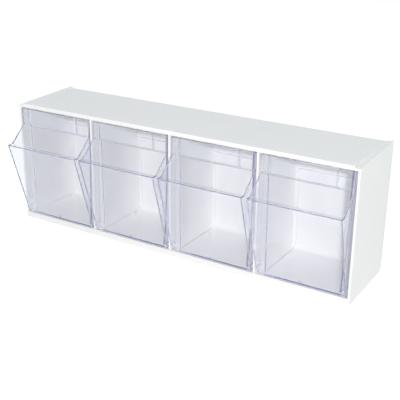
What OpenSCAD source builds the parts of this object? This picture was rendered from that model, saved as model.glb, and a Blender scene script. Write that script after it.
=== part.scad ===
/* [Housing] */
// Overall width of the housing
housing_w = 600; // [480:1:900]
// Depth of the housing, front edge to back
housing_d = 130; // [128:1:170]
// Height of the housing to its top face
housing_h = 205; // [170:1:260]
// Wall of the end panels
end_t = 3.3; // [2.5:0.1:5]
// Wall of the dividers between the bins
divider_t = 3.4; // [3.4:0.1:5]
// Plate of the top panel
top_t = 2.5; // [2:0.1:4]
// Plate of the base panel
base_t = 3; // [2:0.1:4]
// Plate of the back panel
back_t = 2.5; // [2:0.1:4]
// Height of the rim along the top front edge
rim_h = 6.5; // [5:0.1:9]
// Thickness of the front rim and of the front rail
rim_t = 3; // [2:0.1:4]
// Height of the rail along the bottom front edge
rail_h = 10; // [8:0.1:10.5]
// Width of the stacking ramp along the top of each end panel
ramp_w = 9; // [6:0.5:12]
// How far the ramps lie below the top face at the front
ramp_drop = 3; // [2:0.1:3.5]
// How far the ramps stand above the top face at the rear
ramp_rise = 1.6; // [1:0.1:3]
// Radius of the rounded lower rear edge
heel_r = 12; // [8:0.5:14]

/* [Bin] */
// Gap between a bin and the wall on each side of it
side_gap = 2.15; // [1.5:0.05:4]
// Gap between a bin's top and the rim above it
rim_gap = 2; // [1.5:0.1:3]
// Wall of the clear mouldings
wall = 2; // [1.6:0.1:2.4]
// How far the pull lip stands out from the housing's front
lip_reach = 38; // [30:0.5:46]
// Depth of the flat ledge behind the lip's edge
ledge_d = 9; // [6:0.5:12]
// Height of the label band above the fold
band_h = 28; // [22:0.5:34]
// Drop from the fold to the pull lip
lip_drop = 26; // [20:0.5:34]
// Height of the bin's underside
floor_z = 12.7; // [12.5:0.1:15]
// Step of the side walls behind the front part, at the floor
inset_low = 10.5; // [8:0.1:14]
// Step of the side walls behind the front part, at the top
inset_high = 7; // [6:0.1:9]
// Depth of the full-width front part at its foot
foot_d = 10; // [8:0.1:12]
// Depth of the full-width front part at its top
shoulder_d = 13.5; // [12:0.1:16]
// Inside depth of the bin's floor, from the housing's front
floor_d = 115; // [90:1:116]
// Lean of the rear wall from the floor to its top edge
rear_lean = 1; // [0:0.1:4]
// How far the rear wall's top edge is below the bin's top
rear_drop = 53; // [48:1:80]
// Outer radius between the floor and the rear wall
bin_heel_r = 16; // [10:0.5:18]

/* [Pivot] */
// Radius of the moulded pivot studs
stud_r = 3.5; // [3.2:0.1:4.2]
// Radial running clearance of the studs
stud_clearance = 0.06; // [0.02:0.01:0.1]
// Distance of the pivot axis behind the housing's front
pivot_back = 8; // [7.5:0.1:9]
// Height of the pivot axis
pivot_z = 25; // [24:0.1:26]
// How far a stud enters the wall beside it
stud_grip = 1.5; // [1:0.1:1.6]
// Width of the ear round each stud's root
stud_ear = 2; // [1.5:0.1:2.5]

/* [Label holder] */
// Distance of the label window's ribs from the bin's left edge
label_from_left = 13; // [12:0.1:14]
// Distance of the label window's ribs from the bin's right edge
label_from_right = 25.5; // [14:0.1:30]
// Width of the ribs round the window
label_rib_t = 1.6; // [1.2:0.1:2]
// Depth of the ribs behind the band
label_rib_d = 3; // [2.8:0.1:3.4]
// How far the ribs' rear lips reach over the cover
label_lip = 1; // [0.6:0.1:1.4]
// Thickness of the clear label cover
cover_t = 1; // [0.8:0.1:1.2]
// Room for a card between the band and its cover
card_gap = 0.8; // [0.5:0.1:0.9]
// Clearance of the cover at its sides and under the lips
cover_clearance = 0.1; // [0.05:0.05:0.2]

/* [Wall fixing] */
// Radius of the two screw holes in the back panel
screw_r = 2.5; // [2:0.1:3]
// Distance of the screw holes below the housing's top
screw_drop = 30; // [20:1:50]

/* [Hidden] */
$fn = 64;
bin_count = 4;

// How far a cut runs past the face it opens
over = 1;

// The origin is on the base, under the middle of the whole object with its lips
front_y = lip_reach - (housing_d + lip_reach) / 2;
back_y = front_y + housing_d;
pitch = (housing_w - 2 * end_t + divider_t) / bin_count;
room_w = pitch - divider_t;
bin_w = room_w - 2 * side_gap;
inner_w = housing_w - 2 * end_t;
plate_w = housing_w - 2 * ramp_w;
top_under_z = housing_h - top_t;
rim_under_z = housing_h - rim_h;
ramp_under_z = housing_h - ramp_drop - top_t;
pivot_y = front_y + pivot_back;
bin_top_z = rim_under_z - rim_gap;
fold_z = bin_top_z - band_h;
lip_z = fold_z - lip_drop;
rear_z = bin_top_z - rear_drop;
low_w = bin_w - 2 * inset_low;
high_w = bin_w - 2 * inset_high;

// Pointed tabs at the rear ends of the stacking ramps, whose front edges are sunk in the ramps
tab_l = 6;
tab_rise = 1;
tab_sink = 0.2;

// Two small ribs on the base panel, under the rear ends of each closed bin's side walls
rest_rib_l = 10;
rest_gap = 0.3;
rest_rib_y = front_y + floor_d - bin_heel_r - rest_rib_l;

// Flats that make up each round lower rear edge
heel_steps = 12;

// The moulding's gate mark at the bin's foot
gate_r = 2;
gate_up = 4;
gate_rise = 0.8;

white_finish = [0.96, 0.96, 0.96];
clear_finish = [0.84, 0.86, 0.93, 0.45];

function divider_x(i) = (i - bin_count / 2) * pitch;
function bin_x(i) = (i - (bin_count + 1) / 2) * pitch;

// Normal on the left of the way from a to b
function left_normal(a, b) = let (d = (b - a) / norm(b - a)) [-d[1], d[0]];

// Where the edges that meet at b cross once each has moved inwards by w
function moved_corner(a, b, c, w) =
    let (n = left_normal(a, b), m = left_normal(b, c)) b + w * (n + m) / (1 + n * m);

// A counter-clockwise outline with every edge moved inwards by w
function inset_outline(p, w) =
    let (n = len(p))
    [for (i = [0 : n - 1]) moved_corner(p[(i + n - 1) % n], p[i], p[(i + 1) % n], w)];

// Points of a round corner of radius r at b, between the edges a-b and b-c
function round_corner(a, b, c, r) =
    let (
        centre = moved_corner(a, b, c, r),
        n = left_normal(a, b),
        m = left_normal(b, c),
        turn = acos(n * m)
    )
    [
        for (i = [0 : heel_steps])
            let (t = turn * i / heel_steps) centre - r * (n * sin(turn - t) + m * sin(t)) / sin(turn)
    ];

// Extrudes an outline drawn in Y and Z along X, centred on X = 0
module across(w) {
    translate([-w / 2, 0, 0]) rotate([90, 0, 90]) linear_extrude(w) children();
}

// A box given by two opposite corners
module box(low, high) {
    translate(low) cube(high - low);
}

// A cylinder along X from x1 to x2, with its axis at (y, z)
module rod(r, x1, x2, y, z) {
    translate([x1, y, z]) rotate([0, 90, 0]) cylinder(r = r, h = x2 - x1);
}

// Height of the stacking ramps at the depth y
function ramp_z(y) = housing_h - ramp_drop + (ramp_drop + ramp_rise) * (y - front_y) / housing_d;

// Side outline of the housing less t at its base and back, with its round heel and the top points given
function housing_outline(t, top) =
    let (back = back_y - t)
    concat([[front_y, t]], round_corner([front_y, t], [back, t], [back, housing_h], heel_r - t), top);

// The front rim's end, as high as the stacking ramp behind it
module rim_end(w) {
    across(w) polygon([
        [front_y, rim_under_z],
        [front_y + rim_t, rim_under_z],
        [front_y + rim_t, ramp_z(front_y + rim_t)],
        [front_y, ramp_z(front_y)]
    ]);
}

module top_panel() {
    color(white_finish) {
        box([-plate_w / 2, front_y, top_under_z], [plate_w / 2, back_y, housing_h]);
        box([-plate_w / 2, front_y, rim_under_z], [plate_w / 2, front_y + rim_t, housing_h]);
        rim_end(housing_w);
    }
}

module base_panel() {
    color(white_finish) {
        box([-inner_w / 2, front_y, 0], [inner_w / 2, back_y - heel_r, base_t]);
        box([-inner_w / 2, front_y, 0], [inner_w / 2, front_y + rim_t, rail_h]);
        for (i = [1 : bin_count], side = [-1, 1])
            translate([bin_x(i) + side * (low_w - wall) / 2, rest_rib_y, 0])
                box([-wall / 2, 0, 0], [wall / 2, rest_rib_l, floor_z - rest_gap]);
    }
}

module back_panel() {
    color(white_finish) difference() {
        across(inner_w) polygon(housing_outline(0, [[back_y, top_under_z], [front_y, top_under_z]]));
        across(inner_w + 2 * over)
            polygon(housing_outline(back_t, [[back_y - back_t, housing_h], [front_y, housing_h]]));
        box([-inner_w, front_y - over, -over], [inner_w, back_y - heel_r, housing_h]);
        for (i = [1, bin_count])
            translate([bin_x(i), back_y + over, housing_h - screw_drop])
                rotate([90, 0, 0])
                    cylinder(r = screw_r, h = back_t + 2 * over);
    }
}

// The points from back to front on which the stacking ramp lies
function ramp_seat() = [
    [back_y, top_under_z],
    [back_y - back_t, top_under_z],
    [back_y - back_t, ramp_under_z],
    [front_y, ramp_under_z]
];

// The stacking ramp, which bridges the end wall and the top panel
module ramp() {
    translate([(housing_w - ramp_w) / 2, 0, 0])
        across(ramp_w)
            polygon(concat(ramp_seat(), [[front_y, ramp_z(front_y)], [back_y, ramp_z(back_y)]]));
}

// The pointed tab on the end wall that stops a cabinet stacked on this one
module tab() {
    tab_y = back_y - tab_l;
    translate([(housing_w - end_t) / 2, 0, 0]) across(end_t) polygon([
        [tab_y, top_under_z],
        [back_y, top_under_z],
        [back_y, ramp_z(back_y) + tab_rise],
        [tab_y, ramp_z(tab_y) - tab_sink]
    ]);
}

module right_end_shape() {
    socket_x = inner_w / 2 + stud_grip + rest_gap;
    difference() {
        union() {
            translate([(housing_w - end_t) / 2, 0, 0])
                across(end_t)
                    polygon(housing_outline(0, ramp_seat()));
            ramp();
            tab();
        }
        box([0, front_y - over, rim_under_z], [housing_w, front_y + rim_t, housing_h]);
        rod(stud_r + stud_clearance, inner_w / 2 - over, socket_x, pivot_y, pivot_z);
    }
}

module right_end_panel() {
    color(white_finish) right_end_shape();
}

module left_end_panel() {
    color(white_finish) mirror([1, 0, 0]) right_end_shape();
}

module divider(i) {
    color(white_finish) translate([divider_x(i), 0, 0]) difference() {
        across(divider_t)
            polygon(housing_outline(back_t, [[back_y - back_t, top_under_z], [front_y, top_under_z]]));
        box([-divider_t, front_y - over, 0], [divider_t, back_y, base_t]);
        box([-divider_t, front_y - over, 0], [divider_t, front_y + rim_t, rail_h]);
        box([-divider_t, front_y - over, rim_under_z], [divider_t, front_y + rim_t, housing_h]);
        rod(stud_r + stud_clearance, -divider_t, divider_t, pivot_y, pivot_z);
    }
}

// The two corners of the pull lip's edge
function lip_edge() = [[front_y - lip_reach, lip_z], [front_y - lip_reach, lip_z - wall]];

// Where the lower front panel would meet the top of the ledge if it ran on up
function sharp_lip() =
    let (foot = [front_y, floor_z], under = lip_edge()[1])
    [foot + (under - foot) * (lip_z - floor_z) / (under[1] - floor_z)];

// Side outline of the full-width front part, with its top raised by rise
function front_outline(rise, lip) = concat(
    [
        [front_y, floor_z],
        [front_y + foot_d, floor_z],
        [front_y + shoulder_d, bin_top_z],
        [front_y + shoulder_d, bin_top_z + rise],
        [front_y, bin_top_z + rise],
        [front_y, fold_z],
        [front_y - lip_reach + ledge_d, lip_z]
    ],
    lip
);

// Side outline of the hollow of the narrower rear part, open at the top, with its round heel
function rear_hollow() =
    let (
        front = [front_y + foot_d - 1.5 * wall, floor_z + wall],
        corner = [front_y + floor_d, floor_z + wall],
        rear = [front_y + floor_d + rear_lean, rear_z]
    )
    concat(
        [front],
        round_corner(front, corner, rear, bin_heel_r - wall),
        [
            rear,
            [front_y + floor_d + rear_lean, bin_top_z + wall],
            [front_y + shoulder_d - 1.5 * wall, bin_top_z + wall]
        ]
    );

// A block along Y whose sides draw in towards the floor, less t on each side
module drafted_block(t) {
    rise = bin_top_z - floor_z;
    top_z = bin_top_z + 2 * wall;
    top_w = low_w + (high_w - low_w) * (top_z - floor_z) / rise;
    translate([0, back_y, 0]) rotate([90, 0, 0]) linear_extrude(housing_d + lip_reach)
        polygon([
            [t - low_w / 2, floor_z], [low_w / 2 - t, floor_z],
            [top_w / 2 - t, top_z], [t - top_w / 2, top_z]
        ]);
}

// The rear part with its floor, side walls and rear wall grown by t from the hollow
module rear_block(t) {
    intersection() {
        across(bin_w) polygon(inset_outline(rear_hollow(), -t));
        drafted_block(wall - t);
    }
}

// What lies above the sloping top edges of the side walls and of the rear wall
module above_rear_part() {
    sky_z = housing_h + over;
    across(bin_w) polygon([
        [front_y + shoulder_d, bin_top_z],
        [front_y + floor_d + rear_lean, rear_z],
        [back_y, rear_z],
        [back_y, sky_z],
        [front_y, sky_z],
        [front_y, bin_top_z]
    ]);
}

// A pivot stud on each cheek, with an ear round its root
module studs() {
    root_x = bin_w / 2 - wall;
    tip_x = room_w / 2 + stud_grip;
    rod(stud_r + stud_ear, root_x, bin_w / 2, pivot_y, pivot_z);
    rod(stud_r + stud_ear, -bin_w / 2, -root_x, pivot_y, pivot_z);
    rod(stud_r, root_x, tip_x, pivot_y, pivot_z);
    rod(stud_r, -tip_x, -root_x, pivot_y, pivot_z);
}

// A rib along the fold, and ribs on it that hold the label cover at its sides
module label_ribs() {
    left_x = label_from_left - bin_w / 2;
    right_x = bin_w / 2 - label_from_right;
    near_y = front_y + wall - cover_clearance;
    lip_y = front_y + wall + card_gap + cover_t + cover_clearance;
    far_y = front_y + wall + label_rib_d;
    for (side = [[left_x, left_x + label_rib_t + label_lip], [right_x - label_rib_t - label_lip, right_x]])
        box([side[0], lip_y, fold_z], [side[1], far_y, bin_top_z]);
    box([left_x, near_y, fold_z], [left_x + label_rib_t, far_y, bin_top_z]);
    box([right_x - label_rib_t, near_y, fold_z], [right_x, far_y, bin_top_z]);
    box([wall / 2 - bin_w / 2, near_y, fold_z], [bin_w / 2 - wall / 2, far_y, fold_z + label_rib_t]);
}

module gate_mark() {
    translate([0, front_y, floor_z + gate_up])
        rotate([90, 0, 0])
            cylinder(r = gate_r, h = gate_rise + gate_up * (lip_reach / (lip_z - floor_z)));
}

module bin(i) {
    color(clear_finish) translate([bin_x(i), 0, 0]) {
        difference() {
            union() {
                across(bin_w) polygon(front_outline(0, lip_edge()));
                difference() {
                    rear_block(wall);
                    above_rear_part();
                }
                gate_mark();
            }
            across(bin_w - 2 * wall) polygon(inset_outline(front_outline(2 * wall, sharp_lip()), wall));
            rear_block(0);
        }
        label_ribs();
        studs();
    }
}

module label_cover(i) {
    left_x = label_from_left + label_rib_t + cover_clearance - bin_w / 2;
    right_x = bin_w / 2 - label_from_right - label_rib_t - cover_clearance;
    near_y = front_y + wall + card_gap;
    color(clear_finish) translate([bin_x(i), 0, 0])
        box([left_x, near_y, fold_z + label_rib_t], [right_x, near_y + cover_t, bin_top_z]);
}

top_panel();
base_panel();
back_panel();
left_end_panel();
right_end_panel();
divider(1);  // divider_1
divider(2);  // divider_2
divider(3);  // divider_3
bin(1);  // bin_1
bin(2);  // bin_2
bin(3);  // bin_3
bin(4);  // bin_4
label_cover(1);  // label_cover_1
label_cover(2);  // label_cover_2
label_cover(3);  // label_cover_3
label_cover(4);  // label_cover_4
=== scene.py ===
"""Looks of the tilt-out bin cabinet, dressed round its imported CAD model.

Every part that shows is a CAD node, because their shapes are the real ones. This script rounds
their moulded edges, gives them their finishes, and adds the floor, the light and the camera.
"""

import logging
import math
from dataclasses import dataclass
from enum import Enum

import bpy
import numpy as np
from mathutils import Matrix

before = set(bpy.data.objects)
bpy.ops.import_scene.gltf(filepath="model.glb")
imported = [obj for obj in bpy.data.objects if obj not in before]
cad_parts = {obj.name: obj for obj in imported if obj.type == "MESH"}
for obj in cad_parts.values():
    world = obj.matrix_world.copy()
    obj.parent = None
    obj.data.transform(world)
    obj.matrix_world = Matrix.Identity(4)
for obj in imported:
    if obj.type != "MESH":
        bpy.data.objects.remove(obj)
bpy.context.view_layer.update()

log = logging.getLogger("tilt_out_bins")

MM = 0.001
BIN_COUNT = 4
PLASTIC_IOR = 1.5
WHITE = (1, 1, 1)

Triple = tuple[float, float, float]


class Ray(Enum):
    """The kinds of ray that a Light Path node tells apart, by its socket's name."""

    CAMERA = "Is Camera Ray"
    SHADOW = "Is Shadow Ray"
    DIFFUSE = "Is Diffuse Ray"
    GLOSSY = "Is Glossy Ray"
    TRANSMISSION = "Is Transmission Ray"


class Graph:
    """A material's or world's node tree, built one node at a time."""

    def __init__(self, owner: bpy.types.ID) -> None:
        """Empties the owner's node tree.

        Args:
            owner: the material or the world whose nodes are made.
        """
        owner.use_nodes = True
        self.tree = owner.node_tree
        self.tree.nodes.clear()

    def add(self, kind: str, inputs: dict | None = None, **settings: object) -> bpy.types.Node:
        """Adds a node.

        Args:
            kind: Blender's name for the node's type.
            inputs: for each input socket, a plain value or another node's output.
            settings: attributes of the node itself.

        Returns:
            The new node.
        """
        node = self.tree.nodes.new(kind)
        for name, value in settings.items():
            setattr(node, name, value)
        for name, value in (inputs or {}).items():
            if isinstance(value, bpy.types.NodeSocket):
                self.tree.links.new(value, node.inputs[name])
            else:
                node.inputs[name].default_value = value
        return node

    def noise(self, scale: float, detail: float) -> bpy.types.NodeSocket:
        """Noise on Object coordinates, so that a pattern stays on its piece.

        Args:
            scale: bumps to a metre.
            detail: octaves of finer noise.

        Returns:
            The noise's value, about 0.5 on average.
        """
        place = self.add("ShaderNodeTexCoord")
        made = self.add(
            "ShaderNodeTexNoise", {"Vector": place.outputs["Object"], "Scale": scale, "Detail": detail}
        )
        return made.outputs["Fac"]

    def ranged(self, value: bpy.types.NodeSocket, low: float, high: float) -> bpy.types.NodeSocket:
        """Maps noise from its usual 0.3 to 0.7 to the range from low to high."""
        made = self.add(
            "ShaderNodeMapRange",
            {"Value": value, "From Min": 0.3, "From Max": 0.7, "To Min": low, "To Max": high},
        )
        return made.outputs["Result"]

    def mixed(self, share: bpy.types.NodeSocket, low: Triple, high: Triple) -> bpy.types.NodeSocket:
        """A colour between low and high by share."""
        made = self.add("ShaderNodeMix", data_type="RGBA")
        self.tree.links.new(share, made.inputs[0])
        made.inputs[6].default_value = (*low, 1)
        made.inputs[7].default_value = (*high, 1)
        return made.outputs[2]

    def bump(self, height: bpy.types.NodeSocket, depth: float) -> bpy.types.NodeSocket:
        """A normal from a height, where depth is how deep the relief is in metres."""
        made = self.add("ShaderNodeBump", {"Height": height, "Distance": depth, "Strength": 1.0})
        return made.outputs["Normal"]

    def any_ray(self, *kinds: Ray) -> bpy.types.NodeSocket:
        """1 for the kinds of ray that are named, else 0."""
        path = self.add("ShaderNodeLightPath")
        total = path.outputs[kinds[0].value]
        for kind in kinds[1:]:
            total = self.add(
                "ShaderNodeMath", {0: total, 1: path.outputs[kind.value]}, operation="MAXIMUM"
            ).outputs[0]
        return total


@dataclass(frozen=True)
class WhiteMoulding:
    """Satin white polystyrene, as moulded: faintly uneven in tone and gloss, with a fine grain."""

    name: str = "white_moulding"
    low: Triple = (0.875, 0.88, 0.88)
    high: Triple = (0.9, 0.9, 0.9)
    drift: float = 9.0
    smooth: float = 0.32
    rough: float = 0.45
    gloss_patches: float = 35.0
    grain: float = 1400.0
    grain_depth: float = 0.015 * MM

    def material(self) -> bpy.types.Material:
        """Builds the material.

        Returns:
            A material whose tone and gloss drift slowly, under a fine grain.
        """
        made = bpy.data.materials.new(self.name)
        graph = Graph(made)
        surface = graph.add(
            "ShaderNodeBsdfPrincipled",
            {
                "Base Color": graph.mixed(graph.noise(self.drift, 2.0), self.low, self.high),
                "Roughness": graph.ranged(graph.noise(self.gloss_patches, 3.0), self.smooth, self.rough),
                "IOR": PLASTIC_IOR,
                "Normal": graph.bump(graph.noise(self.grain, 2.0), self.grain_depth),
            },
        )
        graph.add("ShaderNodeOutputMaterial", {"Surface": surface.outputs[0]})
        return made


@dataclass(frozen=True)
class ClearMoulding:
    """Clear polystyrene, which tints light lavender the further it runs inside a wall."""

    name: str = "clear_moulding"
    wall_tint: Triple = (0.966, 0.975, 0.988)
    depth_tint: Triple = (0.2, 0.16, 0.75)
    density: float = 9.0
    haze: float = 0.02
    haze_tint: Triple = (0.8, 0.84, 0.9)
    rough: float = 0.02
    gloss_patches: float = 45.0
    ripple: float = 60.0
    ripple_depth: float = 0.02 * MM

    def material(self) -> bpy.types.Material:
        """Builds the material.

        Returns:
            Faintly hazy glass with absorption, which lets lamps and scattered light straight through.
        """
        made = bpy.data.materials.new(self.name)
        graph = Graph(made)
        glass = graph.add(
            "ShaderNodeBsdfPrincipled",
            {
                "Base Color": (*self.wall_tint, 1),
                "Roughness": graph.ranged(graph.noise(self.gloss_patches, 2.0), 0.0, self.rough),
                "IOR": PLASTIC_IOR,
                "Transmission Weight": 1.0,
                "Normal": graph.bump(graph.noise(self.ripple, 1.0), self.ripple_depth),
            },
        )
        bloom = graph.add("ShaderNodeBsdfDiffuse", {"Color": (*self.haze_tint, 1)})
        seen = graph.add("ShaderNodeMixShader", {0: self.haze, 1: glass.outputs[0], 2: bloom.outputs[0]})
        clear = graph.add("ShaderNodeBsdfTransparent", {"Color": (*WHITE, 1)})
        surface = graph.add(
            "ShaderNodeMixShader",
            {0: graph.any_ray(Ray.SHADOW, Ray.DIFFUSE), 1: seen.outputs[0], 2: clear.outputs[0]},
        )
        inside = graph.add(
            "ShaderNodeVolumeAbsorption", {"Color": (*self.depth_tint, 1), "Density": self.density}
        )
        graph.add(
            "ShaderNodeOutputMaterial",
            {"Surface": surface.outputs[0], "Volume": inside.outputs[0]},
        )
        return made


@dataclass(frozen=True)
class MouldedEdge:
    """The small round that a mould leaves on every outer edge, made by modifiers."""

    radius: float
    steps: int = 2
    least_turn: float = 25.0
    round_turn: float = 9.0
    flat_turn: float = 0.3
    merge_gap: float = 0.002 * MM

    def soften(self, piece: bpy.types.Object) -> None:
        """Rounds a piece's sharp edges and shades its curved faces smooth.

        Args:
            piece: a CAD node, whose mesh of loose triangles the modifiers merge first.
        """
        merge = piece.modifiers.new("merge", "WELD")
        merge.merge_threshold = self.merge_gap
        flats = piece.modifiers.new("flats", "DECIMATE")
        flats.decimate_type = "DISSOLVE"
        flats.angle_limit = math.radians(self.flat_turn)
        edge = piece.modifiers.new("edge", "BEVEL")
        edge.width = self.radius
        edge.segments = self.steps
        edge.limit_method = "ANGLE"
        edge.angle_limit = math.radians(self.least_turn)
        edge.use_clamp_overlap = False
        shade = piece.modifiers.new("shade", "NODES")
        shade.node_group = self.shading()
        weigh = piece.modifiers.new("weigh", "WEIGHTED_NORMAL")
        weigh.keep_sharp = True

    def shading(self) -> bpy.types.NodeTree:
        """Geometry nodes that shade smooth across edges which turn by less than round_turn.

        Returns:
            The node group, made once and shared.
        """
        name = "smooth_rounds"
        if name in bpy.data.node_groups:
            return bpy.data.node_groups[name]
        tree = bpy.data.node_groups.new(name, "GeometryNodeTree")
        tree.interface.new_socket("Geometry", in_out="INPUT", socket_type="NodeSocketGeometry")
        tree.interface.new_socket("Geometry", in_out="OUTPUT", socket_type="NodeSocketGeometry")
        source = tree.nodes.new("NodeGroupInput")
        sink = tree.nodes.new("NodeGroupOutput")
        turn = tree.nodes.new("GeometryNodeInputMeshEdgeAngle")
        gentle = tree.nodes.new("ShaderNodeMath")
        gentle.operation = "LESS_THAN"
        gentle.inputs[1].default_value = math.radians(self.round_turn)
        tree.links.new(turn.outputs["Unsigned Angle"], gentle.inputs[0])
        faces = tree.nodes.new("GeometryNodeSetShadeSmooth")
        faces.domain = "FACE"
        edges = tree.nodes.new("GeometryNodeSetShadeSmooth")
        edges.domain = "EDGE"
        tree.links.new(source.outputs[0], faces.inputs["Geometry"])
        tree.links.new(faces.outputs[0], edges.inputs["Geometry"])
        tree.links.new(gentle.outputs[0], edges.inputs["Shade Smooth"])
        tree.links.new(edges.outputs[0], sink.inputs[0])
        return tree


def dress(node: str, material: bpy.types.Material, edge: MouldedEdge) -> None:
    """Puts a finish on a CAD node and rounds its edges.

    Args:
        node: the CAD node's name.
        material: its finish.
        edge: how its edges are rounded.
    """
    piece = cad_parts[node]
    piece.data.materials.clear()
    piece.data.materials.append(material)
    edge.soften(piece)
    log.info("%s: %s, edges rounded by %.2f mm", node, material.name, edge.radius / MM)


@dataclass(frozen=True)
class Housing:
    """The white cabinet: outer panels and the dividers between the bins."""

    panels: tuple[str, ...] = ("top_panel", "base_panel", "back_panel", "left_end_panel", "right_end_panel")
    outer_edge: MouldedEdge = MouldedEdge(0.35 * MM)
    divider_edge: MouldedEdge = MouldedEdge(0.5 * MM)

    def build(self, white: bpy.types.Material) -> None:
        """Dresses the panels and the dividers.

        Args:
            white: the finish of all of them.
        """
        for node in self.panels:
            dress(node, white, self.outer_edge)
        for number in range(1, BIN_COUNT):
            dress(f"divider_{number}", white, self.divider_edge)


@dataclass(frozen=True)
class TiltBin:
    """A clear bin and the clear cover behind its label band."""

    number: int
    bin_edge: MouldedEdge = MouldedEdge(0.35 * MM)
    cover_edge: MouldedEdge = MouldedEdge(0.15 * MM)

    def build(self, moulding: bpy.types.Material, sheet: bpy.types.Material) -> None:
        """Dresses the bin and its cover.

        Args:
            moulding: the bin's finish.
            sheet: the cover's finish.
        """
        dress(f"bin_{self.number}", moulding, self.bin_edge)
        dress(f"label_cover_{self.number}", sheet, self.cover_edge)


@dataclass(frozen=True)
class Lamp:
    """An area lamp that faces the middle of the cabinet, with its power in watts."""

    name: str
    place: Triple
    size: tuple[float, float]
    power: float
    in_reflections: bool = True
    target: Triple = (0, 0, 0.1)
    tint: Triple = (1.0, 0.955, 0.885)

    def build(self) -> None:
        """Makes the lamp."""
        data = bpy.data.lights.new(self.name, "AREA")
        data.shape = "RECTANGLE"
        data.size, data.size_y = self.size
        data.energy = self.power
        data.color = self.tint
        lamp = bpy.data.objects.new(self.name, data)
        way = np.subtract(self.target, self.place)
        lamp.location = self.place
        lamp.rotation_euler = (
            math.atan2(math.hypot(way[0], way[1]), -way[2]),
            0,
            math.atan2(-way[0], way[1]),
        )
        lamp.visible_glossy = self.in_reflections
        bpy.context.scene.collection.objects.link(lamp)
        log.info("%s: %.1f W", self.name, self.power)


@dataclass(frozen=True)
class Studio:
    """The white floor, the world and the lamps."""

    half: float = 6.0
    cells: int = 8
    floor_grey: float = 0.76
    floor_glow: float = 0.56
    world_tint: Triple = (0.885, 0.95, 1.0)
    world_strength: float = 0.6
    key: Lamp = Lamp("key_lamp", (1.281, -2.05, 1.057), (0.09, 0.09), 40.5)
    fill: Lamp = Lamp("rear_fill", (-1.0, 2.8, 0.6), (1.6, 1.0), 12.0, in_reflections=False)

    def build(self) -> None:
        """Makes the floor, the world and the lamps."""
        floor = bpy.data.objects.new("floor", self.floor_mesh())
        floor.data.materials.append(self.floor_finish())
        bpy.context.scene.collection.objects.link(floor)
        log.info("floor: %.0f m square", 2 * self.half)
        self.make_world()
        self.key.build()
        self.fill.build()

    def floor_mesh(self) -> bpy.types.Mesh:
        """Makes a square grid at z = 0, from -half to half in x and in y.

        Returns:
            The floor's mesh.
        """
        steps = np.linspace(-self.half, self.half, self.cells + 1)
        x, y = (a.ravel() for a in np.meshgrid(steps, steps))
        row, column = np.divmod(np.arange(self.cells**2), self.cells)
        near = row * (self.cells + 1) + column
        far = near + self.cells + 1
        faces = np.stack([near, near + 1, far + 1, far], 1)
        mesh = bpy.data.meshes.new("floor")
        mesh.from_pydata(np.stack([x, y, np.zeros_like(x)], 1).tolist(), [], faces.tolist())
        return mesh

    def floor_finish(self) -> bpy.types.Material:
        """Makes a pale floor that looks white, and still shows the cabinet's shadow.

        Returns:
            The floor's material.
        """
        made = bpy.data.materials.new("floor_white")
        graph = Graph(made)
        lit = graph.add("ShaderNodeBsdfDiffuse", {"Color": (*[self.floor_grey] * 3, 1)})
        glow = graph.add("ShaderNodeEmission", {"Color": (*WHITE, 1), "Strength": self.floor_glow})
        both = graph.add("ShaderNodeAddShader", {0: lit.outputs[0], 1: glow.outputs[0]})
        seen = graph.any_ray(Ray.CAMERA, Ray.GLOSSY, Ray.TRANSMISSION)
        surface = graph.add("ShaderNodeMixShader", {0: seen, 1: lit.outputs[0], 2: both.outputs[0]})
        graph.add("ShaderNodeOutputMaterial", {"Surface": surface.outputs[0]})
        return made

    def make_world(self) -> None:
        """Makes a world that lights the cabinet cool and looks white."""
        world = bpy.data.worlds.new("studio")
        bpy.context.scene.world = world
        graph = Graph(world)
        seen = graph.any_ray(Ray.CAMERA, Ray.GLOSSY, Ray.TRANSMISSION)
        light = graph.add(
            "ShaderNodeBackground", {"Color": (*self.world_tint, 1), "Strength": self.world_strength}
        )
        white = graph.add("ShaderNodeBackground", {"Color": (*WHITE, 1), "Strength": 1.0})
        surface = graph.add("ShaderNodeMixShader", {0: seen, 1: light.outputs[0], 2: white.outputs[0]})
        graph.add("ShaderNodeOutputWorld", {"Surface": surface.outputs[0]})


@dataclass(frozen=True)
class PhotoCamera:
    """The camera, where the photograph was taken from."""

    place: Triple = (0.6246, -0.9817, 0.5398)
    turn: Triple = (68.425, -0.525, 31.529)
    lens: float = 70.92
    sensor: float = 36.0

    def build(self) -> None:
        """Makes the camera and makes it the scene's."""
        data = bpy.data.cameras.new("photo_camera")
        data.lens = self.lens
        data.sensor_width = self.sensor
        camera = bpy.data.objects.new("photo_camera", data)
        camera.location = self.place
        camera.rotation_euler = [math.radians(a) for a in self.turn]
        bpy.context.scene.collection.objects.link(camera)
        bpy.context.scene.camera = camera


@dataclass(frozen=True)
class RenderLimits:
    """How far light is followed, so that it finds its way out of the clear walls."""

    bounces: int = 96
    clear_layers: int = 64

    def apply(self) -> None:
        """Sets the limits and the plain colour handling."""
        scene = bpy.context.scene
        scene.view_settings.view_transform = "Standard"
        scene.cycles.max_bounces = self.bounces
        scene.cycles.transmission_bounces = self.bounces
        scene.cycles.glossy_bounces = self.bounces
        scene.cycles.transparent_max_bounces = self.clear_layers
        scene.cycles.use_denoising = True


def main() -> None:
    """Dresses the cabinet and its bins, then adds the studio and the camera."""
    logging.basicConfig(level=logging.INFO)
    Housing().build(WhiteMoulding().material())
    moulding = ClearMoulding().material()
    sheet = ClearMoulding("clear_sheet", ripple=25.0, ripple_depth=0.01 * MM).material()
    for number in range(1, BIN_COUNT + 1):
        TiltBin(number).build(moulding, sheet)
    Studio().build()
    PhotoCamera().build()
    RenderLimits().apply()


if __name__ == "__main__":
    main()
